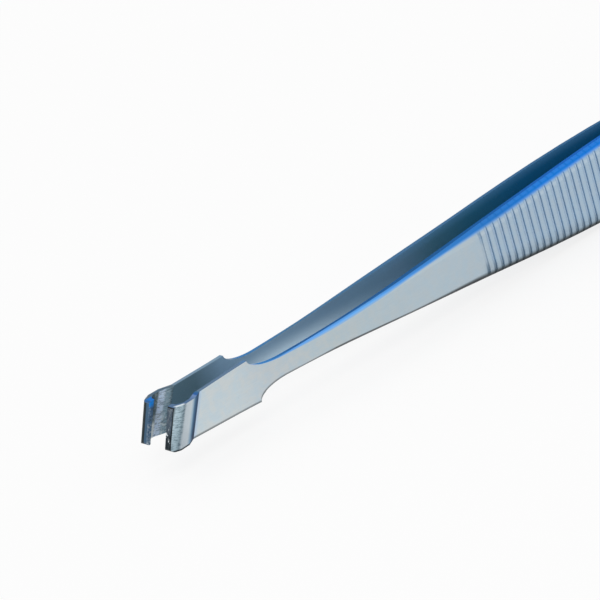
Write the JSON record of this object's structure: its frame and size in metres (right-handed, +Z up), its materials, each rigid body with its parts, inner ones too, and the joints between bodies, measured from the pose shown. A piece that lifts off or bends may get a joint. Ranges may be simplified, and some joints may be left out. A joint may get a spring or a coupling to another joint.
{
  "type": "angled tweezers",
  "caption": "Steel tweezers with slanted, hook-formed paddle tips, slim necks and cross-grooved grips, welded together at the tail.",
  "frame": {"origin": "centre of the bounding box on the surface that the tweezers lie on", "axes": "+X along the tool from the tips to the tail, +Y across the gap towards the right arm, +Z up across the width of the arms"},
  "size_m": [0.12, 0.0064, 0.0094],
  "materials": {
    "steel": "satin stainless steel, ground at the tips and along the edges"
  },
  "bodies": {
    "root": {"left_arm": "steel", "right_arm": "steel"}
  },
  "joints": []
}
